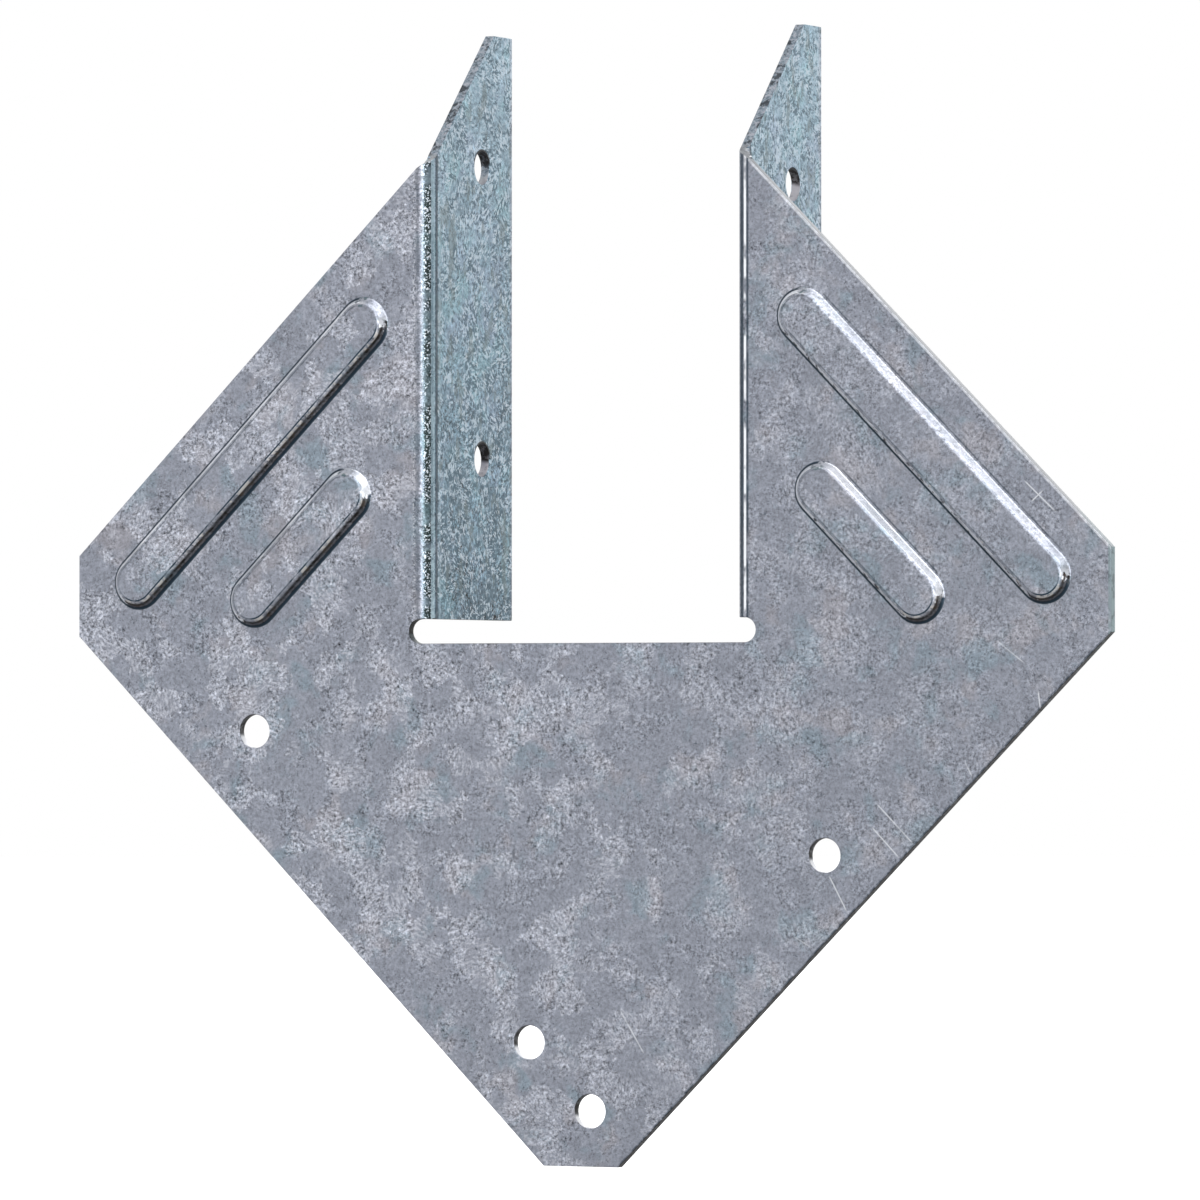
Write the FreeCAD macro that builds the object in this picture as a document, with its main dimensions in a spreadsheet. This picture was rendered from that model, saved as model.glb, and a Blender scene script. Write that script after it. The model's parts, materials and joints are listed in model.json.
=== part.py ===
import FreeCAD, Part
import Sketcher
import math
import os

# Hurricane tie: one piece of zinc-coated steel sheet, punched flat and then folded.
# The blank is a square that stands on one corner, with all four corners trimmed. A slot is punched
# across it a little under its middle, and a cut runs from the slot straight up to the top corner.
# The two halves beside that cut are folded back by 90 degrees and leave an open slot, which holds
# a rafter from both sides. The lower half stays flat against the wall's top plate.
#
# While it is built, the origin is the square's middle on the front face: X to the right,
# Y back towards the wall, Z up. The placement at the end moves it to the wall face.

document = FreeCAD.newDocument("HurricaneTie")

# Driving dimensions, in millimetres and degrees
dimensions = [
    ("blank_side", 101.6, "side of the square blank"),
    ("corner_trim", 4.84, "height of the tip cut off each corner"),
    ("sheet_thickness", 1.15, "zinc-coated sheet"),
    ("opening_width", 39.6, "clear width between the flanges"),
    ("fold_radius", 0.75, "inside radius of both folds"),
    ("fold_allowance", 1.65, "width of the flat blank that each fold takes up"),
    ("slot_height", 2.9, "height of the slot across the blank"),
    ("slot_drop", 2.95, "from the square's middle down to the slot's upper edge"),
    ("slot_overrun", 0.8, "how far the slot runs past each fold"),
    ("nail_hole", 4.0, "diameter of all nail holes"),
    ("left_row_inset", 8.85, "lower left edge to its row of holes"),
    ("right_row_inset", 7.15, "lower right edge to its row of holes"),
    ("near_hole_step", 11.2, "along the left row, corner hole to the next one"),
    ("far_hole_step", 62.7, "along the left row, corner hole to the last one"),
    ("right_hole_step", 42.5, "along the right row, corner hole to the last one"),
    ("flange_hole_inset", 8.05, "flange's rear edge to its nail holes"),
    ("flange_hole_step", 34.85, "between the two nail holes of a flange"),
    ("left_hole_drop", 16.0, "top of the left flange to its upper hole"),
    ("right_hole_drop", 19.0, "top of the right flange to its upper hole"),
    ("rib_width", 6.45, "width of a pressed rib where it leaves the sheet"),
    ("rib_rise", 1.1, "height of a rib over the front face"),
    ("rib_slope", 56.0, "angle of a rib's walls to the sheet"),
    ("rib_inset", 8.08, "upper edge of the blank to the long rib's middle line"),
    ("rib_pitch", 12.66, "between the middle lines of the two ribs on a wing"),
    ("long_rib_start", 40.4, "long rib's outer end centre, from the square's middle along the rib"),
    ("long_rib_length", 42.75, "between the long rib's end centres"),
    ("short_rib_start", 30.9, "short rib's outer end centre, from the square's middle along the rib"),
    ("short_rib_length", 17.4, "between the short rib's end centres"),
    ("rib_crest_radius", 0.8, "rounding of a rib's crest, on the front"),
    ("rib_foot_radius", 0.35, "rounding where a rib leaves the sheet, on the front"),
    ("hollow_mouth_radius", 0.45, "rounding of a rib's hollow at the back face"),
    ("hollow_floor_radius", 0.25, "rounding at the bottom of a rib's hollow"),
]
sheet = document.addObject("Spreadsheet::Sheet", "Sizes")
for row, (name, value, meaning) in enumerate(dimensions, start=1):
    sheet.set(f"A{row}", name)
    sheet.set(f"B{row}", str(value))
    sheet.set(f"C{row}", meaning)
    sheet.setAlias(f"B{row}", name)
document.recompute()

# Lengths that follow from the driving dimensions
half_side = "Sizes.blank_side / 2"
half_diagonal = "Sizes.blank_side / sqrt(2)"
blank_reach = f"({half_diagonal} - Sizes.corner_trim)"
outer_fold_radius = "(Sizes.fold_radius + Sizes.sheet_thickness)"
fold_line = f"(Sizes.opening_width / 2 + {outer_fold_radius})"
slot_middle = "(Sizes.slot_drop + Sizes.slot_height / 2)"
slot_end_centre = f"({fold_line} + Sizes.slot_overrun - Sizes.slot_height / 2)"
above_blank = f"({blank_reach} + Sizes.sheet_thickness)"
flange_depth = f"({outer_fold_radius} + {fold_line} - Sizes.fold_allowance)"
plate_edge_at_fold = f"({half_diagonal} - {fold_line})"
slope_foot = f"({plate_edge_at_fold} + Sizes.fold_allowance)"
slope_top = f"({flange_depth} - Sizes.corner_trim)"
hollow_half_width = "(Sizes.rib_width / 2 - Sizes.sheet_thickness * tan(Sizes.rib_slope / 2 * 1deg))"

tie = document.addObject("PartDesign::Body", "TiePlate")
tie.Label = "tie_plate"


def origin_plane(role):
    return next(feature for feature in tie.Origin.OriginFeatures if feature.Role == role)


def new_sketch(name, plane, offset=None, turn=0):
    """A sketch on one of the origin planes, moved along the plane's normal and turned in it."""
    sketch = tie.newObject("Sketcher::SketchObject", name)
    sketch.AttachmentSupport = [(origin_plane(plane), "")]
    sketch.MapMode = "FlatFace"
    rotation = FreeCAD.Rotation(FreeCAD.Vector(0, 0, 1), turn)
    sketch.AttachmentOffset = FreeCAD.Placement(FreeCAD.Vector(), rotation)
    if offset:
        sketch.setExpression("AttachmentOffset.Base.z", offset)
    return sketch


def size_of(expression):
    return float(sheet.evalExpression(expression))


def place_point(sketch, geometry, end, across, up):
    """Holds a point by its distances from the sketch's origin; 0 puts it on the axis."""
    for kind, axis, expression in (("DistanceX", -2, across), ("DistanceY", -1, up)):
        if expression == "0":
            sketch.addConstraint(Sketcher.Constraint("PointOnObject", geometry, end, axis))
        else:
            number = sketch.addConstraint(
                Sketcher.Constraint(kind, -1, 1, geometry, end, size_of(expression)))
            sketch.setExpression(f"Constraints[{number}]", expression)


def add_polygon(sketch, corners):
    """A closed outline of straight lines through corners that are written as expressions."""
    points = [FreeCAD.Vector(size_of(across), size_of(up), 0) for across, up in corners]
    first = sketch.GeometryCount
    count = len(points)
    for index in range(count):
        sketch.addGeometry(Part.LineSegment(points[index], points[(index + 1) % count]))
    for index, (across, up) in enumerate(corners):
        before = (index - 1) % count
        sketch.addConstraint(Sketcher.Constraint("Coincident", first + before, 2, first + index, 1))
        place_point(sketch, first + index, 1, across, up)


def add_circle(sketch, across, up, diameter):
    centre = FreeCAD.Vector(size_of(across), size_of(up), 0)
    circle = sketch.addGeometry(Part.Circle(centre, FreeCAD.Vector(0, 0, 1), size_of(diameter) / 2))
    place_point(sketch, circle, 3, across, up)
    number = sketch.addConstraint(Sketcher.Constraint("Diameter", circle, size_of(diameter)))
    sketch.setExpression(f"Constraints[{number}]", diameter)


def add_stadium(sketch, start, length, up, half_width):
    """A slot shape along the sketch's X axis: two half circles joined by two lines."""
    left = size_of(start)
    right = size_of(f"{start} + {length}")
    middle = size_of(up)
    radius = size_of(half_width)
    normal = FreeCAD.Vector(0, 0, 1)
    quarter = math.pi / 2
    left_end = sketch.addGeometry(Part.ArcOfCircle(
        Part.Circle(FreeCAD.Vector(left, middle, 0), normal, radius), quarter, 3 * quarter))
    lower = sketch.addGeometry(Part.LineSegment(
        FreeCAD.Vector(left, middle - radius, 0), FreeCAD.Vector(right, middle - radius, 0)))
    right_end = sketch.addGeometry(Part.ArcOfCircle(
        Part.Circle(FreeCAD.Vector(right, middle, 0), normal, radius), -quarter, quarter))
    upper = sketch.addGeometry(Part.LineSegment(
        FreeCAD.Vector(right, middle + radius, 0), FreeCAD.Vector(left, middle + radius, 0)))
    for one, two in ((left_end, lower), (lower, right_end), (right_end, upper), (upper, left_end)):
        sketch.addConstraint(Sketcher.Constraint("Tangent", one, 2, two, 1))
    sketch.addConstraint(Sketcher.Constraint("Horizontal", lower))
    place_point(sketch, left_end, 3, start, up)
    for kind, values, expression in (("DistanceX", (left_end, 3, right_end, 3), length),
                                     ("Radius", (left_end,), half_width)):
        number = sketch.addConstraint(Sketcher.Constraint(kind, *values, size_of(expression)))
        sketch.setExpression(f"Constraints[{number}]", expression)


def cut_through(name, sketch, sides="Symmetric", reverse=False):
    """Cuts a sketch's outline through all that lies on its path."""
    pocket = tie.newObject("PartDesign::Pocket", name)
    pocket.Profile = sketch
    pocket.Type = "ThroughAll"
    pocket.SideType = sides
    pocket.Reversed = reverse
    return pocket


# Flat plate, left half: trimmed corners, the wing's inner edge at the fold, and the lower half up
# to the middle of the slot
plate_sketch = new_sketch("PlateOutline", "XZ_Plane")
add_polygon(plate_sketch, [
    ("0", f"-{blank_reach}"),
    ("0", f"-{slot_middle}"),
    (f"-{fold_line}", f"-{slot_middle}"),
    (f"-{fold_line}", plate_edge_at_fold),
    (f"-{blank_reach}", "Sizes.corner_trim"),
    (f"-{blank_reach}", "-Sizes.corner_trim"),
    ("-Sizes.corner_trim", f"-{blank_reach}"),
])
plate = tie.newObject("PartDesign::Pad", "Plate")
plate.Profile = plate_sketch
plate.Reversed = True
plate.setExpression("Length", "Sizes.sheet_thickness")

# Fold and flange, seen from above: the sheet turns back by 90 degrees round the fold's axis
fold_sketch = new_sketch("FoldSection", "XY_Plane", offset=f"-{slot_middle}")
axis_x = -size_of(fold_line)
inner = size_of("Sizes.fold_radius")
outer = size_of(outer_fold_radius)
rear = size_of(flange_depth)
fold_axis = FreeCAD.Vector(axis_x, outer, 0)
upright = FreeCAD.Vector(0, 0, 1)
outer_arc = fold_sketch.addGeometry(Part.ArcOfCircle(
    Part.Circle(fold_axis, upright, outer), -math.pi / 2, 0))
open_side = fold_sketch.addGeometry(Part.LineSegment(
    FreeCAD.Vector(axis_x + outer, outer, 0), FreeCAD.Vector(axis_x + outer, rear, 0)))
rear_edge = fold_sketch.addGeometry(Part.LineSegment(
    FreeCAD.Vector(axis_x + outer, rear, 0), FreeCAD.Vector(axis_x + inner, rear, 0)))
wood_side = fold_sketch.addGeometry(Part.LineSegment(
    FreeCAD.Vector(axis_x + inner, rear, 0), FreeCAD.Vector(axis_x + inner, outer, 0)))
inner_arc = fold_sketch.addGeometry(Part.ArcOfCircle(
    Part.Circle(fold_axis, upright, inner), -math.pi / 2, 0))
plate_joint = fold_sketch.addGeometry(Part.LineSegment(
    FreeCAD.Vector(axis_x, outer - inner, 0), FreeCAD.Vector(axis_x, 0, 0)))
for one, one_end, two, two_end in ((open_side, 2, rear_edge, 1), (rear_edge, 2, wood_side, 1),
                                   (inner_arc, 1, plate_joint, 1), (plate_joint, 2, outer_arc, 1),
                                   (inner_arc, 3, outer_arc, 3)):
    fold_sketch.addConstraint(Sketcher.Constraint("Coincident", one, one_end, two, two_end))
fold_sketch.addConstraint(Sketcher.Constraint("Tangent", outer_arc, 2, open_side, 1))
fold_sketch.addConstraint(Sketcher.Constraint("Tangent", inner_arc, 2, wood_side, 2))
fold_sketch.addConstraint(Sketcher.Constraint("Vertical", open_side))
fold_sketch.addConstraint(Sketcher.Constraint("Horizontal", rear_edge))
fold_sketch.addConstraint(Sketcher.Constraint("Vertical", plate_joint))
fold_sketch.addConstraint(Sketcher.Constraint("PointOnObject", outer_arc, 3, plate_joint))
place_point(fold_sketch, outer_arc, 3, f"-{fold_line}", outer_fold_radius)
for kind, values, expression in (("Radius", (outer_arc,), outer_fold_radius),
                                 ("Radius", (inner_arc,), "Sizes.fold_radius"),
                                 ("DistanceY", (-1, 1, open_side, 2), flange_depth)):
    number = fold_sketch.addConstraint(Sketcher.Constraint(kind, *values, size_of(expression)))
    fold_sketch.setExpression(f"Constraints[{number}]", expression)
flange = tie.newObject("PartDesign::Pad", "FoldAndFlange")
flange.Profile = fold_sketch
flange.setExpression("Length", f"{slot_middle} + {blank_reach}")

# The blank's upper edge, carried on over the flange at 45 degrees
slope_sketch = new_sketch("SlopeOutline", "YZ_Plane")
add_polygon(slope_sketch, [
    (outer_fold_radius, slope_foot),
    (slope_top, blank_reach),
    (slope_top, above_blank),
    (outer_fold_radius, above_blank),
])
slope = cut_through("FlangeSlope", slope_sketch)

# The same edge where it turns round the fold: it climbs evenly from the plate to the flange. The
# two outlines lie in planes through the fold's axis, one on the plate's side and one on the flange's.
# They reach from inside the fold's hollow to well outside the fold, so that they cut all of it.
cutter_near = "Sizes.fold_radius / 3"
cutter_far = f"(1.5 * {outer_fold_radius})"
plate_side = new_sketch("FoldTopAtPlate", "YZ_Plane", offset=f"-{fold_line}")
add_polygon(plate_side, [
    (f"({outer_fold_radius} - {cutter_near})", plate_edge_at_fold),
    (f"({outer_fold_radius} - {cutter_far})", plate_edge_at_fold),
    (f"({outer_fold_radius} - {cutter_far})", above_blank),
    (f"({outer_fold_radius} - {cutter_near})", above_blank),
])
flange_side = new_sketch("FoldTopAtFlange", "XZ_Plane", offset=f"-{outer_fold_radius}")
add_polygon(flange_side, [
    (f"({cutter_near} - {fold_line})", slope_foot),
    (f"({cutter_far} - {fold_line})", slope_foot),
    (f"({cutter_far} - {fold_line})", above_blank),
    (f"({cutter_near} - {fold_line})", above_blank),
])
fold_top = tie.newObject("PartDesign::SubtractiveLoft", "FoldTop")
fold_top.Profile = plate_side
fold_top.Sections = [flange_side]
fold_top.Ruled = True

# Pressed ribs: a long and a short one on each wing, parallel to the upper edge. They stand out of
# the front with sloping walls, and the sheet keeps its thickness, so the back is hollow. The
# sketches are turned by 45 degrees: their X axis runs along the ribs.
long_rib_height = f"({half_side} - Sizes.rib_inset)"
short_rib_height = f"({long_rib_height} - Sizes.rib_pitch)"
rib_rows = [
    ("-Sizes.long_rib_start", "Sizes.long_rib_length", long_rib_height),
    ("-Sizes.short_rib_start", "Sizes.short_rib_length", short_rib_height),
]
rib_sketch = new_sketch("RibOutlines", "XZ_Plane", turn=45)
hollow_sketch = new_sketch("HollowOutlines", "XZ_Plane", offset="-Sizes.sheet_thickness", turn=45)
for start, length, up in rib_rows:
    add_stadium(rib_sketch, start, length, up, "Sizes.rib_width / 2")
    add_stadium(hollow_sketch, start, length, up, hollow_half_width)
ribs = tie.newObject("PartDesign::Pad", "Ribs")
ribs.Profile = rib_sketch
ribs.AllowMultiFace = True
ribs.setExpression("Length", "Sizes.rib_rise")
ribs.setExpression("TaperAngle", "Sizes.rib_slope - 90")
hollows = tie.newObject("PartDesign::Pocket", "RibHollows")
hollows.Profile = hollow_sketch
hollows.AllowMultiFace = True
hollows.Reversed = True
hollows.setExpression("Length", "Sizes.rib_rise")
hollows.setExpression("TaperAngle", "Sizes.rib_slope - 90")

# The right half mirrors the left one
whole = tie.newObject("PartDesign::Mirrored", "BothHalves")
whole.Originals = [plate, flange, slope, fold_top, ribs, hollows]
whole.MirrorPlane = (origin_plane("YZ_Plane"), [""])
tie.Tip = whole

# Slot across the blank, with round ends: it sets the lower edge of both flanges
slot_sketch = new_sketch("SlotOutline", "XZ_Plane")
add_stadium(slot_sketch, f"-{slot_end_centre}", f"2 * {slot_end_centre}", f"-{slot_middle}",
            "Sizes.slot_height / 2")
cut_through("Slot", slot_sketch)

# Nail holes of the lower half, in two rows along its two edges that share the corner hole. The
# sketch is turned by 45 degrees: X runs up to the right, Y up to the left.
left_row = f"(Sizes.left_row_inset - {half_side})"
right_row = f"(Sizes.right_row_inset - {half_side})"
plate_hole_sketch = new_sketch("PlateHoles", "XZ_Plane", turn=45)
for across, up in ((left_row, right_row),
                   (left_row, f"({right_row} + Sizes.near_hole_step)"),
                   (left_row, f"({right_row} + Sizes.far_hole_step)"),
                   (f"({left_row} + Sizes.right_hole_step)", right_row)):
    add_circle(plate_hole_sketch, across, up, "Sizes.nail_hole")
cut_through("PlateNailHoles", plate_hole_sketch)

# Nail holes of the flanges, two in each. The right pair sits lower, so that nails driven from both
# sides miss each other in the rafter.
for side, drop, reverse in (("Left", "Sizes.left_hole_drop", False),
                            ("Right", "Sizes.right_hole_drop", True)):
    hole_sketch = new_sketch(f"{side}FlangeHoles", "YZ_Plane")
    upper_hole = f"({blank_reach} - {drop})"
    for up in (upper_hole, f"({upper_hole} - Sizes.flange_hole_step)"):
        add_circle(hole_sketch, f"({flange_depth} - Sizes.flange_hole_inset)", up, "Sizes.nail_hole")
    cut_through(f"{side}FlangeNailHoles", hole_sketch, sides="One side", reverse=reverse)
document.recompute()


# Rounded edges of the ribs, on the front and in the hollows behind. A rib's wall is known by its
# lean: it is neither flat on the sheet nor square to it.
square_to_sheet = 0.02
flat_on_sheet = 0.98
same_depth = 1e-4


def slopes_at(face, point):
    """Whether a face leans at a point, as a rib's walls do."""
    normal = face.normalAt(*face.Surface.parameter(point))
    return square_to_sheet < abs(normal.y) < flat_on_sheet


def rib_edges(shape, depth):
    """Names of the edges at one depth where a sloping wall starts or ends."""
    names = []
    for number, edge in enumerate(shape.Edges, start=1):
        if any(abs(vertex.Y - depth) > same_depth for vertex in edge.Vertexes):
            continue
        middle = edge.valueAt((edge.FirstParameter + edge.LastParameter) / 2)
        if any(slopes_at(face, middle) for face in shape.ancestorsOfType(edge, Part.Face)):
            names.append(f"Edge{number}")
    return names


rise = size_of("Sizes.rib_rise")
back = size_of("Sizes.sheet_thickness")
for name, depth, radius in (("CrestRounding", -rise, "Sizes.rib_crest_radius"),
                            ("FootRounding", 0, "Sizes.rib_foot_radius"),
                            ("MouthRounding", back, "Sizes.hollow_mouth_radius"),
                            ("FloorRounding", back - rise, "Sizes.hollow_floor_radius")):
    base = tie.Tip
    rounding = tie.newObject("PartDesign::Fillet", name)
    rounding.Base = (base, rib_edges(base.Shape, depth))
    rounding.setExpression("Radius", radius)
    document.recompute()

# The finished frame: the origin is on the wall face, on the centre line, halfway between the
# slot's lower edge and the bottom corner
tie.setExpression("Placement.Base.y", "-Sizes.sheet_thickness")
tie.setExpression("Placement.Base.z", f"({blank_reach} + Sizes.slot_drop + Sizes.slot_height) / 2")
document.recompute()

for item in document.Objects:
    if "Invalid" in item.State or "Error" in item.State:
        raise RuntimeError(f"{item.Label} failed to build: {item.State}")
if tie.Shape.isNull() or not tie.Shape.isValid() or len(tie.Shape.Solids) != 1:
    raise RuntimeError(f"{tie.Label} isn't one valid solid")

os.makedirs("parts", exist_ok=True)
tie.Shape.exportStep(f"parts/{tie.Label}.step")
print(tie.Label, "volume", round(tie.Shape.Volume, 1), "mm3", tie.Shape.BoundBox)
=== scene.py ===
import json
import math
import bpy
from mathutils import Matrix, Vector

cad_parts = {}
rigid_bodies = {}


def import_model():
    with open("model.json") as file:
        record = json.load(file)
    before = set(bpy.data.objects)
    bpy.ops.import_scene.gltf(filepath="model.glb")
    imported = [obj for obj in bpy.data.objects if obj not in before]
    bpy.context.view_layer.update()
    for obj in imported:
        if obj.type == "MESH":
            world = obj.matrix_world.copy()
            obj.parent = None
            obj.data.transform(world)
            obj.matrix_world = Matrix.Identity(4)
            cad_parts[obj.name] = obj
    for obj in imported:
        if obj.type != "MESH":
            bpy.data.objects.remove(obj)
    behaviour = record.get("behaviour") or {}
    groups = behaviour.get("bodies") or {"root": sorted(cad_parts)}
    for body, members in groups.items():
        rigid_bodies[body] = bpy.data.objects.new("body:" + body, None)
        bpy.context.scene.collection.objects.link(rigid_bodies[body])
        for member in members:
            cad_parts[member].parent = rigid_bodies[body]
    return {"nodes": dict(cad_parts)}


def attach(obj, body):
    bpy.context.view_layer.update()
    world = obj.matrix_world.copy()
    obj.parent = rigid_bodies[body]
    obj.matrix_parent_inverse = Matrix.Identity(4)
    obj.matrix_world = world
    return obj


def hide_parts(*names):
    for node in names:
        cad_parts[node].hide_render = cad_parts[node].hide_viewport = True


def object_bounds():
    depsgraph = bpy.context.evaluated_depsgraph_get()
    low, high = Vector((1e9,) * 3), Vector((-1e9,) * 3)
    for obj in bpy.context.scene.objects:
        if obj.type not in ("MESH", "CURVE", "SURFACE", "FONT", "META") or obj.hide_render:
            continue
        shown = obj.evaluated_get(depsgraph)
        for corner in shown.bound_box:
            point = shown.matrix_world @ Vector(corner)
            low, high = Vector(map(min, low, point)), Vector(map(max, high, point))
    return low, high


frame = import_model()
cad_box = [list(corner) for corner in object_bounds()]


# The tie: one piece of zinc-coated steel sheet. It is punched out flat, its four ribs are
# pressed from the back, and the two halves of its upper half are folded back. The punch
# rolls the front rim of each cut over a little, and the walls of the cuts are bare steel.
MM = 0.001
front_face = -1.15 * MM
rib_height = 1.1 * MM
fold_reach = 21.7 * MM
fold_depth = 0.75 * MM
blank_middle = 36.43 * MM
blank_reach = 71.84 * MM
rim_width = 0.30 * MM
flange_middle = 20.4 * MM
plate_middle = -0.6 * MM
fold_middle = 1.3 * MM
slot_top = 33.4 * MM
slot_clear = 34 * MM
slot_reach = 24 * MM
slot_low = 30.3 * MM
slot_high = 33.6 * MM
hole_depth = 12.75 * MM
hole_heights = (87.43 * MM, 52.58 * MM)
rim_angle = math.radians(40)
flat_enough = math.radians(0.05)
same_point = 0.002 * MM
cut_lean = 0.35

bpy.ops.object.select_all(action="DESELECT")
solid = frame["nodes"]["tie_plate"]
solid.select_set(True)
bpy.context.view_layer.objects.active = solid
bpy.ops.object.duplicate()
tie = bpy.context.active_object
tie.name = "folded_sheet"
bpy.ops.object.parent_clear(type="CLEAR_KEEP_TRANSFORM")
bpy.ops.object.mode_set(mode="EDIT")
bpy.ops.mesh.select_all(action="SELECT")
bpy.ops.mesh.customdata_custom_splitnormals_clear()
bpy.ops.mesh.remove_doubles(threshold=same_point)
bpy.ops.mesh.dissolve_limited(angle_limit=flat_enough)
bpy.ops.object.mode_set(mode="OBJECT")


def is_cut(face):
    """True on the walls that the punch and the shear leave, which have no zinc."""
    across = face.normal
    x, y, z = face.center
    if y > fold_depth:
        return abs(across.x) < cut_lean
    if abs(x) < fold_reach and z > slot_clear:
        return abs(across.z) > 1 - cut_lean
    return abs(across.y) < cut_lean


def from_front(point):
    """True on the side of the sheet that was struck, which rolls over most."""
    x, y, z = abs(point.x), point.y, point.z
    if y > fold_depth:
        return x < flange_middle
    if x > fold_reach or z < slot_top:
        return y < plate_middle
    return math.hypot(fold_reach - x, fold_depth - y) > fold_middle


# each sharp edge along the front of a cut gets the bevel's full weight, and all others none
shares = tie.data.attributes.new("bevel_weight_edge", "FLOAT", "EDGE")
beside = {}
for face in tie.data.polygons:
    for key in face.edge_keys:
        beside.setdefault(key, []).append(face)
for line in tie.data.edges:
    one, other = beside[line.key]
    if one.normal.angle(other.normal) > rim_angle:
        first, last = (tie.data.vertices[index].co for index in line.vertices)
        shares.data[line.index].value = float(from_front((first + last) / 2))

# the width is more than fits, and the bevel's own clamp holds the rims to about 0.1 mm
bpy.ops.object.modifier_add(type="BEVEL")
rims = tie.modifiers[-1]
rims.width = rim_width
rims.segments = 2
rims.limit_method = "WEIGHT"
bpy.ops.object.modifier_apply(modifier=rims.name)
tie.data.attributes.remove(tie.data.attributes["bevel_weight_edge"])
bpy.ops.object.shade_smooth_by_angle(angle=rim_angle)
bpy.ops.object.modifier_add(type="WEIGHTED_NORMAL")
weights = tie.modifiers[-1]
weights.keep_sharp = True
bpy.ops.object.modifier_apply(modifier=weights.name)


class Link:
    """An output of a shader node. Python's own signs on it add Math nodes."""

    def __init__(self, tree, output):
        self.tree = tree
        self.output = output

    def add(self, kind, settings, values, output=0):
        """Adds a node: its settings first, then the values or links of its sockets."""
        node = self.tree.nodes.new(kind)
        for name, value in settings.items():
            setattr(node, name, value)
        for key, value in values.items():
            if isinstance(value, Link):
                self.tree.links.new(value.output, node.inputs[key])
            else:
                node.inputs[key].default_value = value
        return Link(self.tree, node.outputs[output])

    def math(self, operation, first, second=0.0):
        return self.add("ShaderNodeMath", {"operation": operation}, {0: first, 1: second})

    def __add__(self, other):
        return self.math("ADD", self, other)

    def __sub__(self, other):
        return self.math("SUBTRACT", self, other)

    def __rsub__(self, other):
        return self.math("SUBTRACT", other, self)

    def __mul__(self, other):
        return self.math("MULTIPLY", self, other)

    def __truediv__(self, other):
        return self.math("DIVIDE", self, other)

    def __abs__(self):
        return self.math("ABSOLUTE", self)

    __radd__ = __add__
    __rmul__ = __mul__

    def ramp(self, low, high, start=0.0, end=1.0):
        """Goes smoothly from start to end while this value goes from low to high."""
        values = {0: self, 1: low, 2: high, 3: start, 4: end}
        return self.add("ShaderNodeMapRange", {"interpolation_type": "SMOOTHSTEP"}, values)

    def band(self, low, high, soft):
        """Is 1 while this value is between low and high, and fades over soft at both ends."""
        return self.ramp(low - soft, low + soft) * self.ramp(high + soft, high - soft)

    def mix(self, first, second):
        """Colour that goes from first to second while this value goes from 0 to 1."""
        return self.add("ShaderNodeMix", {"data_type": "RGBA"}, {0: self, 6: first, 7: second}, 2)

    def dot(self, direction):
        """How far this direction agrees with the given one."""
        values = {0: self, 1: direction}
        return self.add("ShaderNodeVectorMath", {"operation": "DOT_PRODUCT"}, values, "Value")

    def part(self, axis):
        """One of the three parts of this place or direction: X, Y or Z."""
        return self.add("ShaderNodeSeparateXYZ", {}, {0: self}, axis)

    def scaled(self, factors):
        """This place with each of its three parts scaled. Less than 1 draws a pattern out."""
        return self.add("ShaderNodeVectorMath", {"operation": "MULTIPLY"}, {0: self, 1: factors})

    def larger(self, other):
        """The larger of this value and another."""
        return self.math("MAXIMUM", self, other)

    def noise(self, scale, detail=2.0, rough=0.5, warp=0.0):
        """Soft random pattern on this place, with the given number of features a metre."""
        values = {"Scale": scale, "Detail": detail, "Roughness": rough, "Distortion": warp}
        return self.add("ShaderNodeTexNoise", {}, {"Vector": self, **values})


plain_grey = (0.254, 0.271, 0.318, 1)
warm_grey = (0.272, 0.270, 0.300, 1)
teal_grey = (0.216, 0.268, 0.315, 1)
flange_grey = (0.210, 0.296, 0.356, 1)
lilac_grey = (0.236, 0.299, 0.376, 1)
sea_grey = (0.192, 0.299, 0.341, 1)
frost_grey = (0.43, 0.445, 0.50, 1)
frost_blue = (0.33, 0.43, 0.49, 1)
pit_and_shade_grey = (0.07, 0.085, 0.11, 1)
shade_black = (0.020, 0.018, 0.017, 1)
shade_and_speck_blue = (0.025, 0.043, 0.062, 1)
rib_end_shade_teal = (0.06, 0.11, 0.12, 1)
fold_highlight_blue = (0.46, 0.58, 0.64, 1)
crack_and_shade_green = (0.024, 0.034, 0.034, 1)
glint_and_scratch_zinc = (0.62, 0.64, 0.68, 1)
highlight_white = (0.90, 0.92, 0.95, 1)
crest_highlight_zinc = (0.60, 0.58, 0.55, 1)
green_zinc = (0.225, 0.280, 0.302, 1)
edge_highlight_zinc = (0.88, 0.90, 0.94, 1)
rust_brown = (0.17, 0.13, 0.105, 1)
flange_light = (0.52, 0.60, 0.67, 1)
flange_dark = (0.05, 0.09, 0.12, 1)
olive_grey = (0.14, 0.175, 0.175, 1)
foot_blue = (0.975, 1.08, 1.13, 1)
upwards = (0.71, 0, 0.71)
downwards = (0.45, 0, -0.89)

zinc = bpy.data.materials.new("zinc_coating")
zinc.use_nodes = True
tree = zinc.node_tree
shader = tree.nodes["Principled BSDF"]
start = Link(tree, None)
place = start.add("ShaderNodeTexCoord", {}, {}, "Object")
x, y, z = (place.part(axis) for axis in "XYZ")
facing = start.add("ShaderNodeNewGeometry", {}, {}, "Normal")
lean = abs(facing.part("Y"))
drop = facing.part("Z")
sideways = facing.part("X")
reach = abs(x)
over = facing.dot(upwards)
under = facing.dot(downwards)

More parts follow.
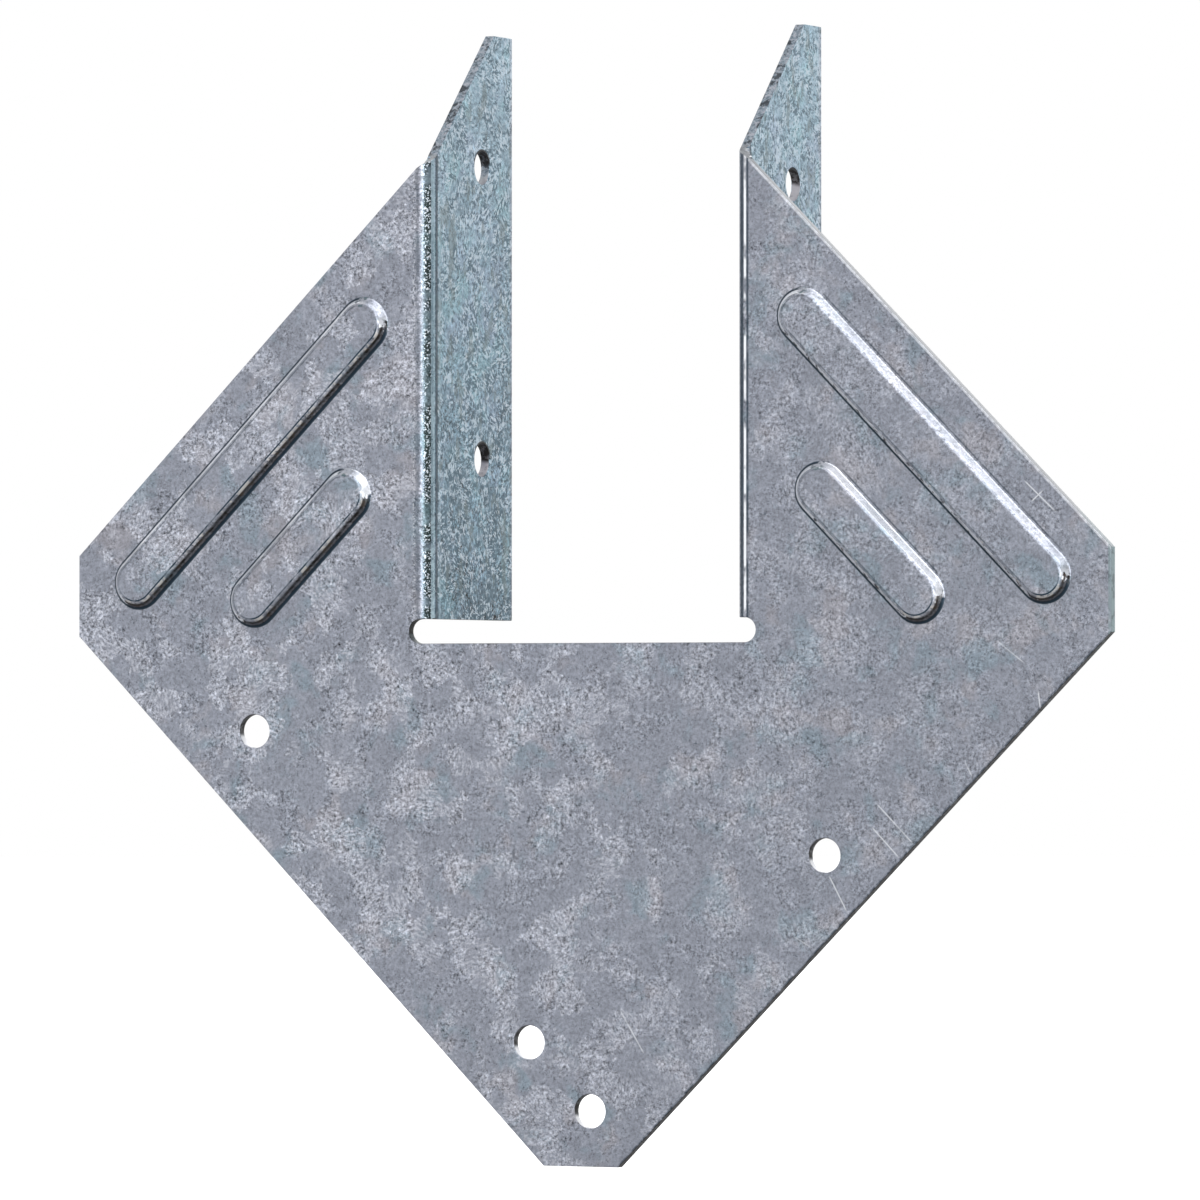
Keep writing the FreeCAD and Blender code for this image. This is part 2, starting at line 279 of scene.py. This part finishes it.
# how far the sheet has turned round a fold, in degrees: 0 on the plate, 90 on a flange
turned = start.math("ARCTAN2", fold_reach - reach, fold_depth - y) * (180 / math.pi)
above_slot = z.ramp(32.5 * MM, 33.5 * MM)
on_flange = y.ramp(0.0, 0.8 * MM)
bend = turned.ramp(0, 3) * turned.ramp(90, 88) * above_slot
left_side = x.ramp(1 * MM, -1 * MM)
left_bend = bend * left_side
right_bend = bend * (1 - left_side)

# how high a rib stands over the plate, from 0 to 1, and which way its wall faces
height = (y - front_face) * (-1 / rib_height)
raised = height.ramp(0.0, 0.03)
tilt = start.math("SQRT", 1.001 - lean * lean).larger(0.05)
sloped = lean.ramp(0.999, 0.992)
patchy = place.noise(1300, 2, 0.6) - 0.5
under_wall = (under / tilt + patchy * 1.6).ramp(0.38, 0.56) * raised * sloped
over_wall = (over / tilt + patchy * 1.0).ramp(0.50, 0.70) * raised * sloped

# distances from the blank's upper and lower edges, and the place along the ribs
upper_gap = (blank_reach + blank_middle - reach - z) * math.sqrt(0.5)
lower_gap = (blank_reach - blank_middle - reach + z) * math.sqrt(0.5)
along_rib = (blank_middle + reach - z) * math.sqrt(0.5)
on_front = y.ramp(front_face + 0.15 * MM, front_face + 0.05 * MM)
on_right = x.ramp(-10 * MM, 10 * MM)

# the rolled rims along the front of the cuts
rim = lean.ramp(0.98, 0.90) * (1 - raised) * (1 - bend) * (1 - on_flange)
flange_rim = abs(sideways).ramp(0.97, 0.88) * y.ramp(1.5 * MM, 1.8 * MM)

# crystals that grew on the flat sheet: patches a few millimetres wide, some frosted with
# short feathery strokes, so the strokes' pattern lies on the sheet as it was before folding
flat = start.add("ShaderNodeCombineXYZ", {}, {"X": x - y * (1 - left_side * 2), "Z": z})
warp = start.add("ShaderNodeTexNoise", {}, {"Vector": place, "Scale": 900, "Detail": 2}, "Color")
added = {"data_type": "RGBA", "blend_type": "ADD"}
moved = start.add("ShaderNodeMix", added, {0: 0.0022, 6: place, 7: warp}, 2)
cell = start.add("ShaderNodeTexVoronoi", {}, {"Vector": moved, "Scale": 280}, "Color")
chance = start.add("ShaderNodeSeparateColor", {}, {0: cell}, "Red")
turn = start.add("ShaderNodeSeparateColor", {}, {0: cell}, "Green") * 6.28
about_y = {"rotation_type": "Y_AXIS"}
spun = start.add("ShaderNodeVectorRotate", about_y, {"Vector": flat, "Angle": turn})
strokes = spun.scaled((1, 1, 0.40)).noise(3300, 2, 0.6)
cloud = place.noise(170, 3, 0.6)
leftness = x.ramp(-20 * MM, 60 * MM, 1.0, 0.25)
frost = (chance * 0.55 + cloud * 0.9).ramp(0.68, 0.90) * leftness * (1 - on_flange * 0.6)

# fine grain, flakes and pits; the flanges have a coarser grain, drawn out across them
grain = place.noise(2700, 2, 0.75)
flakes = place.noise(1000, 3, 0.65, 0.8)
pits = place.noise(3100, 1, 0.5)
streaks = place.scaled((1, 0.6, 0.9)).noise(1500, 3, 0.8, 0.8)

# the zinc's hues and tone: greys on the plate, blues on the flanges and most of the left bend
tint = place.noise(190, 3, 0.6, 0.3)
base = (cloud.ramp(0.54, 0.66) * 0.8).mix(plain_grey, warm_grey)
base = (tint.ramp(0.53, 0.68) * 0.8).mix(base, teal_grey)
blue_part = on_flange.larger(left_bend * turned.ramp(18, 38))
flange_hue = (cloud.ramp(0.48, 0.62) * 0.9).mix(flange_grey, lilac_grey)
flange_hue = (tint.ramp(0.50, 0.64) * 0.9).mix(flange_hue, sea_grey)
base = blue_part.mix(base, flange_hue)
base = (y.ramp(19.8 * MM, 20.3 * MM) * 0.6).mix(base, plain_grey)
whiter = frost * (0.22 + strokes.ramp(0.42, 0.62) * 0.62)
base = whiter.mix(base, blue_part.mix(frost_grey, frost_blue))
crackle = (place.noise(330, 3, 0.65) + chance * 0.16).ramp(0.50, 0.66)
crackle = crackle * x.ramp(-30 * MM, 50 * MM, 1.0, 0.6)
tone = 1 + (grain - 0.5) * (1.1 + crackle * 2.1) + (flakes - 0.5) * (0.8 + crackle * 1.0)
tone = tone + (strokes - 0.5) * 0.5 + (cloud - 0.5) * 0.30
# painted shading across the plate: darker towards the right and lighter towards the bottom
plate_shading = x.ramp(-40 * MM, 50 * MM, 0.0, -0.06) + z.ramp(22 * MM, -20 * MM, 0.0, 0.07)
tone = tone + plate_shading * (1 - on_flange)
worn = place.noise(420, 2, 0.6)
rougher = worn.ramp(0.40, 0.58, 0.45, 1.55)
mottle = (streaks - 0.5) * 6.2 + (strokes - 0.5) * 5.2 + (grain - 0.5) * (on_right * 3.0 - 0.6)
mottle = mottle * rougher
# the flanges' tone: random patches, with painted shading that makes them lighter towards the top
# and on the right
flange_tone_and_shading = (tint - 0.5) * 0.9 + (z - 70 * MM) * (0.012 / MM) + on_right * 0.12 - 0.05
tone = tone + on_flange * flange_tone_and_shading
base = start.add("ShaderNodeVectorMath", {"operation": "SCALE"}, {0: base, "Scale": tone})
bluer = on_flange * left_side * z.ramp(95 * MM, 35 * MM)
multiplied = {"data_type": "RGBA", "blend_type": "MULTIPLY"}
base = start.add("ShaderNodeMix", multiplied, {0: bluer, 6: base, 7: foot_blue}, 2)
base = (pits.ramp(0.64, 0.78) * 0.70).mix(base, pit_and_shade_grey)
base = (on_flange * mottle.ramp(0.0, 0.9) * 0.65).mix(base, flange_light)
base = (on_flange * mottle.ramp(0.0, -0.8) * 0.75).mix(base, flange_dark)
blotch = place.scaled((1, 0.8, 0.35)).noise(620, 2, 0.6)
base = (on_flange * blotch.ramp(0.57, 0.64) * 0.50).mix(base, olive_grey)
# painted glints: bright specks in patches on the flanges
flange_glints = on_flange * strokes.ramp(0.58, 0.68) * worn.ramp(0.48, 0.60)
base = (flange_glints * 0.6).mix(base, glint_and_scratch_zinc)

# the ribs' walls: painted shade in a line at the foot, a painted highlight on the wall, and at
# the crest painted shade on some walls and a broken painted highlight on others
foot_line = height.ramp(0.006, 0.022) * height.ramp(0.34, 0.22) * (1 - over_wall)
outer_foot = height.ramp(0.0002, 0.001) * height.ramp(0.016, 0.008) * over_wall
crest_line = lean.band(0.935, 0.988, 0.01) * height.ramp(0.8, 0.85) * (1 - over_wall)
crest_line = crest_line * worn.ramp(0.40, 0.55, 0.5, 1.1)
# painted shadow in thin lines on the front just beyond the ribs on the right, broken in patches
past_long = upper_gap.band(4.44 * MM, 4.62 * MM, 0.06 * MM)
past_long = past_long * along_rib.band(-2 * MM, 40 * MM, 0.4 * MM)
past_short = upper_gap.band(17.10 * MM, 17.28 * MM, 0.06 * MM)
past_short = past_short * along_rib.band(13.8 * MM, 30.6 * MM, 0.4 * MM)
shadow_beyond_ribs = (past_long + past_short) * on_right * on_front * worn.ramp(0.38, 0.52, 0.35, 0.65)
# painted highlights: a light band on the ribs' walls, and a brighter one, stronger on the short
# rib, on the walls that face up
wall_light = lean.ramp(0.86, 0.72) * height.band(0.32, 0.84, 0.05)
wall_light = wall_light * worn.ramp(0.30, 0.50, 0.6, 1.0)
base = (wall_light * (1 - over_wall) * (1 - under_wall)).mix(base, highlight_white)
short_rib = (blank_reach + blank_middle - reach - z).ramp(19 * MM, 22 * MM)
over_wall_highlight = worn.ramp(0.35, 0.55, 0.07, 0.16) + short_rib * 0.24
base = (over_wall * height.band(0.06, 0.76, 0.06) * over_wall_highlight).mix(base, highlight_white)
# painted shade just below the crest of the walls that face up
base = (over_wall * height.band(0.78, 0.985, 0.05) * 0.09).mix(base, shade_and_speck_blue)
under_crest = crest_line * (under / tilt).ramp(0.30, 0.60) * 0.60
# a painted highlight on the rib ends that face up, with painted shade in patches
rib_end = over_wall * (over / tilt).ramp(0.93, 0.78)
base = (rib_end * height.band(0.10, 0.90, 0.05) * 0.38).mix(base, highlight_white)
base = (rib_end * patchy.ramp(0.03, 0.12) * 0.75).mix(base, rib_end_shade_teal)
# painted shade on the ribs' downward walls, lighter and darker in patches
shade = 0.92 - height.band(0.31, 0.51, 0.05) * 0.26 + (flakes - 0.5) * 1.4
under_wall_shade = under_wall * height.ramp(0.90, 0.70) * height.ramp(0.02, 0.10) * shade
base = under_wall_shade.mix(base, shade_black)
rust = worn.ramp(0.46, 0.60) * flakes.ramp(0.42, 0.58)
base = (under_wall * height.band(0.40, 0.86, 0.08) * rust * 0.32).mix(base, rust_brown)
# a painted highlight along the crest of the downward walls, broken in patches
crest_highlight = under_wall * lean.ramp(0.95, 0.90) * height.ramp(0.74, 0.82)
crest_highlight = crest_highlight * (flakes + worn).ramp(0.97, 1.13)
base = (crest_highlight * 0.7).mix(base, crest_highlight_zinc)
# painted shade in lines at the ribs' feet and crests, under the downward crests and beyond the
# ribs
rib_shade_lines = foot_line * 0.95 + crest_line * 0.50 + under_crest + outer_foot * 0.50 + shadow_beyond_ribs
base = rib_shade_lines.mix(base, shade_and_speck_blue)

# the rims, and a painted highlight and painted shade on the strips of the front beside them
edge_highlight = on_front * on_right * upper_gap.ramp(0.31 * MM, 0.21 * MM)
edge_shade = on_front * on_right * lower_gap.ramp(0.25 * MM, 0.13 * MM)
# a painted highlight beside the upper edges and painted shade beside the lower edges, broken in
# patches
base = (edge_highlight * flakes.ramp(0.35, 0.60, 0.28, 0.50)).mix(base, edge_highlight_zinc)
base = (edge_shade * flakes.ramp(0.62, 0.40, 0.25, 0.75)).mix(base, shade_and_speck_blue)
# a painted teal reflection on the right-hand side corner's rim, broken in patches, with a little
# painted shade
corner = x.ramp(66.60 * MM, 66.72 * MM)
base = (corner * flakes.ramp(0.62, 0.45, 0.55, 0.95)).mix(base, green_zinc)
base = (corner * flakes.ramp(0.40, 0.32) * 0.5).mix(base, shade_and_speck_blue)
# painted shade at the slot's end
slot_end = rim * z.band(slot_low, slot_high, 0.2 * MM)
slot_end = slot_end * reach.ramp(slot_reach, slot_reach - 0.5 * MM)
base = (slot_end * 0.8).mix(base, crack_and_shade_green)
# painted shade on the front rims that face down, broken in patches, and on the flanges' downward
# rims
down_facing_shade = rim * (under / tilt).ramp(0.40, 0.70) * (1 - corner)
base = (down_facing_shade * flakes.ramp(0.62, 0.45, 0.45, 0.95)).mix(base, shade_black)
base = (flange_rim * drop.ramp(-0.10, -0.40) * 0.9).mix(base, shade_black)
# painted shade on the upward rims of the bends and flanges, broken in patches
slope_rim = bend.larger(flange_rim) * drop.ramp(0.30, 0.50)
base = (slope_rim * flakes.ramp(0.60, 0.40, 0.20, 0.80)).mix(base, pit_and_shade_grey)

# painted shade round the upper half of the left flange's two nail holes
for hole_height in hole_heights:
    back, up = y - hole_depth, z - hole_height
    ring = start.math("SQRT", back * back + up * up).ramp(2.32 * MM, 2.18 * MM)
    base = (ring * up.ramp(0.2 * MM, 1.0 * MM) * left_side * 0.95).mix(base, shade_black)

# painted shade in lines along the creases of the folds and painted highlights beside them, broken
# in patches
breaks = place.noise(260, 2, 0.6)
fold_shade_lines = turned.band(2, 10.5, 1.5) * breaks.ramp(0.30, 0.48) * 0.8
fold_shade_lines = right_bend * (fold_shade_lines + turned.band(25, 42, 2) * 0.75)
fold_highlight = right_bend * turned.band(12, 22, 1.5) * breaks.ramp(0.66, 0.54)
crease_shade = y.band(0.45 * MM, 1.00 * MM, 0.09 * MM) * lean.ramp(0.6, 0.3)
fold_highlight_lines = left_bend * turned.band(59, 76, 3) * grain.ramp(0.35, 0.60, 0.55, 1.0)
fold_highlight_lines = fold_highlight_lines + y.band(1.33 * MM, 1.80 * MM, 0.09 * MM) * 0.20
base = fold_highlight_lines.mix(base, fold_highlight_blue)
base = fold_highlight.mix(base, highlight_white)
base = (fold_shade_lines + crease_shade * 0.85).mix(base, shade_and_speck_blue)

# the left bend: stretched zinc that is crazed in short dark specks, some of them beside it, with
# painted shade at the start of the turn and across the crazed band, and painted glints in it
crazing_and_shade = left_bend * turned.ramp(62, 57)
speck = place.noise(4400, 1, 0.5) * 0.6 + grain * 0.4
ragged = turned + (speck - 0.5) * 70
split = worn.ramp(0.37, 0.50)
tears = split.ramp(0, 1, 0.60, 0.0) + split * speck.ramp(0.56, 0.52)
# painted shade at the start of the turn, with a ragged edge
first_turn = left_bend * ragged.ramp(30, 13) * turned.ramp(4, 11, 0.28, 0.45)
base = first_turn.mix(base, shade_and_speck_blue)
# the crazed band: real crazing specks that also stand in for painted shade
base = (crazing_and_shade * ragged.ramp(24, 33) * tears).mix(base, crack_and_shade_green)
glints = crazing_and_shade * turned.ramp(28, 38) * speck.ramp(0.545, 0.585) * split
base = (glints * 0.8).mix(base, glint_and_scratch_zinc)
beside_fold = reach.ramp(22.25 * MM, 21.8 * MM) * left_side * above_slot
beside_fold = beside_fold * (1 - on_flange) * (1 - bend)
base = (beside_fold * speck.ramp(0.47, 0.40) * 0.6).mix(base, shade_and_speck_blue)
base = (beside_fold * speck.ramp(0.54, 0.61) * 0.6).mix(base, glint_and_scratch_zinc)

# scratches: thin bright lines where the tie rubbed against others, each from one point of
# the front to another, in millimetres
scratches = [
    ((37.8, 12.0), (42.5, 7.3)), ((37.2, 9.3), (40.8, 5.6)), ((31.8, 3.7), (34.2, -0.7)),
    ((48.8, 17.0), (49.9, 14.9)), ((52.8, 30.7), (56.5, 27.9)), ((27.3, -3.4), (29.8, -4.8)),
    ((56.3, 48.9), (60.5, 45.0)), ((57.1, 46.4), (58.8, 47.9)), ((5.1, -12.2), (8.3, -17.4)),
    ((58.0, 25.0), (58.3, 22.6)),
]
scored = None
for (from_x, from_z), (to_x, to_z) in scratches:
    run = math.hypot(to_x - from_x, to_z - from_z)
    along_x, along_z = (to_x - from_x) / run, (to_z - from_z) / run
    past_x, past_z = x - from_x * MM, z - from_z * MM
    along = past_x * along_x + past_z * along_z
    aside = abs(past_x * along_z - past_z * along_x)
    line = aside.ramp(0.11 * MM, 0.04 * MM) * along.ramp(0, 0.5 * MM)
    line = line * along.ramp(run * MM, (run - 0.8) * MM)
    scored = line if scored is None else scored.larger(line)
base = (scored * on_front * breaks.ramp(0.35, 0.50, 0.4, 1.0) * 0.8).mix(base, glint_and_scratch_zinc)

tree.links.new(base.output, shader.inputs["Base Color"])
shader.inputs["Metallic"].default_value = 0.9
rough = 0.40 + 0.10 * (flakes - 0.5) + 0.12 * frost - 0.08 * over_wall - 0.12 * left_bend
tree.links.new(rough.output, shader.inputs["Roughness"])
relief = grain * (0.5 + left_bend * 2.0) + flakes * 0.9 + streaks * on_flange * 0.8
bump = start.add("ShaderNodeBump", {}, {"Strength": 0.5, "Distance": 0.03 * MM, "Height": relief})
tree.links.new(bump.output, shader.inputs["Normal"])

# the walls of the cuts: bare steel, torn and stained, with painted shade where they face down;
# where they face up, a painted highlight in the holes and painted shade that dulls the rest
dark_steel = (0.24, 0.25, 0.27, 1)
pale_steel = (0.36, 0.38, 0.40, 1)
green_steel = (0.27, 0.35, 0.37, 1)
up_wall_shade_steel = (0.26, 0.265, 0.28, 1)
up_hole_highlight_steel = (0.80, 0.81, 0.84, 1)
slope_steel = (0.215, 0.262, 0.312, 1)
mauve_steel = (0.44, 0.43, 0.47, 1)
blue_steel = (0.06, 0.085, 0.11, 1)
stain_black = (0.02, 0.024, 0.03, 1)
slot_shade_teal = (0.03, 0.045, 0.048, 1)

edge = bpy.data.materials.new("cut_edge")
edge.use_nodes = True
tree = edge.node_tree
shader = tree.nodes["Principled BSDF"]
start = Link(tree, None)
place = start.add("ShaderNodeTexCoord", {}, {}, "Object")
facing = start.add("ShaderNodeNewGeometry", {}, {}, "Normal")
x, y, z = (place.part(axis) for axis in "XYZ")
over = facing.dot(upwards)
under = facing.dot(downwards)
torn = place.noise(1500, 3, 0.65, 0.3)
spots = place.noise(700, 3, 0.7)
fine = place.noise(2600, 3, 0.7)

# which cut it is: a trimmed side corner, a hole or other cut within the blank's outline, such
# a cut on a flange, a slanted upper edge, or the slot's end
reach = abs(x)
corner = reach.ramp(62 * MM, 64 * MM)
hole = (blank_reach - reach - abs(z - blank_middle)).ramp(1 * MM, 3 * MM) * (1 - corner)
inside = hole * y.ramp(2 * MM, 3 * MM)
slope = y.ramp(0.6 * MM, 1.2 * MM) * z.ramp(86 * MM, 87 * MM) * (1 - hole)
slot_end = z.band(slot_low, slot_high, 0.2 * MM) * y.ramp(0.4 * MM, 0.2 * MM)
slot_end = slot_end * reach.ramp(slot_reach, slot_reach - 0.5 * MM)
faces_up = over.ramp(0.80, 0.93)

steel = torn.ramp(0.35, 0.65).mix(dark_steel, pale_steel)
# a painted teal reflection on the walls of the side corners
steel = corner.mix(steel, green_steel)
# painted shade that dulls the upward walls, and a painted highlight on the upward walls of holes
steel = (faces_up * (1 - hole) * 0.7).mix(steel, up_wall_shade_steel)
steel = (faces_up * hole * 0.9).mix(steel, up_hole_highlight_steel)
steel = (slope * torn.ramp(0.35, 0.65, 0.95, 0.75)).mix(steel, slope_steel)
steel = (slope * fine.ramp(0.50, 0.62) * 0.55).mix(steel, mauve_steel)
steel = (slope * fine.ramp(0.50, 0.38) * 0.65).mix(steel, blue_steel)
steel = (inside * 0.8).mix(steel, mauve_steel)
stained = spots.ramp(0.50, 0.60) * (0.30 + slope * 0.55 + corner * 0.15) * (1 - faces_up * 0.7)
steel = stained.mix(steel, stain_black)
# painted shade at the slot's end
steel = (slot_end * 0.85).mix(steel, slot_shade_teal)
# painted shade on the walls that face down, more inside the holes, lighter in patches
down_facing_shade = (under - corner * 0.25 + inside * 0.3).ramp(0.12, 0.40)
steel = (down_facing_shade * (0.97 - torn.ramp(0.45, 0.6) * 0.25)).mix(steel, shade_black)
tree.links.new(steel.output, shader.inputs["Base Color"])
shader.inputs["Metallic"].default_value = 0.9
rough = 0.35 + 0.2 * torn
tree.links.new(rough.output, shader.inputs["Roughness"])

tie.data.materials.clear()
tie.data.materials.append(zinc)
tie.data.materials.append(edge)
for face in tie.data.polygons:
    face.material_index = 1 if is_cut(face) else 0

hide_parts("tie_plate")
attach(tie, "root")


# The floor: a wide sheet of pale board below the tie, flat and matt. It keeps the tie's soft
# shadow, and glows to white away from it.
floor_drop = 25 * MM
board_grey = (0.62, 0.62, 0.62, 1)
black = (0, 0, 0, 1)
white = (1, 1, 1, 1)

bpy.ops.object.select_all(action="DESELECT")
bpy.ops.mesh.primitive_circle_add(
    vertices=96, radius=4, fill_type="NGON", location=(0, 0, cad_box[0][2] - floor_drop)
)
floor = bpy.context.active_object
floor.name = "floor"
bpy.ops.object.transform_apply(location=True)


def backdrop_rays(start):
    """Is 1 for rays that see or mirror the white room, and 0 for those that light the tie."""
    seen = start.add("ShaderNodeLightPath", {}, {}, "Is Camera Ray")
    mirrored = start.add("ShaderNodeLightPath", {}, {}, "Is Glossy Ray")
    passed = start.add("ShaderNodeLightPath", {}, {}, "Is Transmission Ray")
    return seen.larger(mirrored.larger(passed))


board = bpy.data.materials.new("pale_board")
board.use_nodes = True
tree = board.node_tree
shader = tree.nodes["Principled BSDF"]
start = Link(tree, None)
place = start.add("ShaderNodeTexCoord", {}, {}, "Object")
away = start.add("ShaderNodeVectorMath", {"operation": "LENGTH"}, {0: place}, "Value")
glow = (away.ramp(0.15, 0.6) * backdrop_rays(start)).mix(black, white)
shader.inputs["Base Color"].default_value = board_grey
shader.inputs["Roughness"].default_value = 0.9
shader.inputs["Specular IOR Level"].default_value = 0.0
tree.links.new(glow.output, shader.inputs["Emission Color"])
shader.inputs["Emission Strength"].default_value = 1.0
floor.data.materials.append(board)


# The studio: a white room with a large softbox high on the right, a weaker one in front and
# one behind. Each has its direction from the tie, distance, width and share of the light.
middle = Vector((0, 0, 36 * MM))
softboxes = {
    "softbox_front": ((0.46, -0.87, 0.14), 1.7, 0.8, 0.34),
    "softbox_above": ((0.40, -0.36, 0.85), 1.7, 1.8, 1.05),
    "softbox_behind": ((-0.2, 0.95, 0.25), 1.7, 1.1, 0.25),
}
for name, (towards, distance, width, share) in softboxes.items():
    lamp = bpy.data.lights.new(name, "AREA")
    lamp.shape = "SQUARE"
    lamp.size = width
    lamp.energy = share * (math.pi * distance) ** 2
    holder = bpy.data.objects.new(name, lamp)
    bpy.context.collection.objects.link(holder)
    arm = Vector(towards).normalized()
    holder.location = middle + arm * distance
    holder.rotation_euler = arm.to_track_quat("Z", "Y").to_euler()
    holder.visible_camera = False

world = bpy.data.worlds.new("white_room")
bpy.context.scene.world = world
world.use_nodes = True
tree = world.node_tree
air = tree.nodes["Background"]
start = Link(tree, None)
strength = backdrop_rays(start).ramp(0, 1, 0.35, 1.0)
air.inputs["Color"].default_value = white
tree.links.new(strength.output, air.inputs["Strength"])


# The camera: a long lens about a metre away, to the right of the front and level with the
# tie's lower half, as it was fitted to the edges and corners in the photo.
tilt_up = 0.0138
turn_left = 0.4506

eye = bpy.data.cameras.new("photo_camera")
eye.lens = 265.4
eye.sensor_width = 36
camera = bpy.data.objects.new("photo_camera", eye)
bpy.context.collection.objects.link(camera)
camera.location = (0.45222, -0.93065, 0.02132)
camera.rotation_euler = (math.pi / 2 + tilt_up, 0, turn_left)
bpy.context.scene.camera = camera
bpy.context.scene.view_settings.view_transform = "Standard"
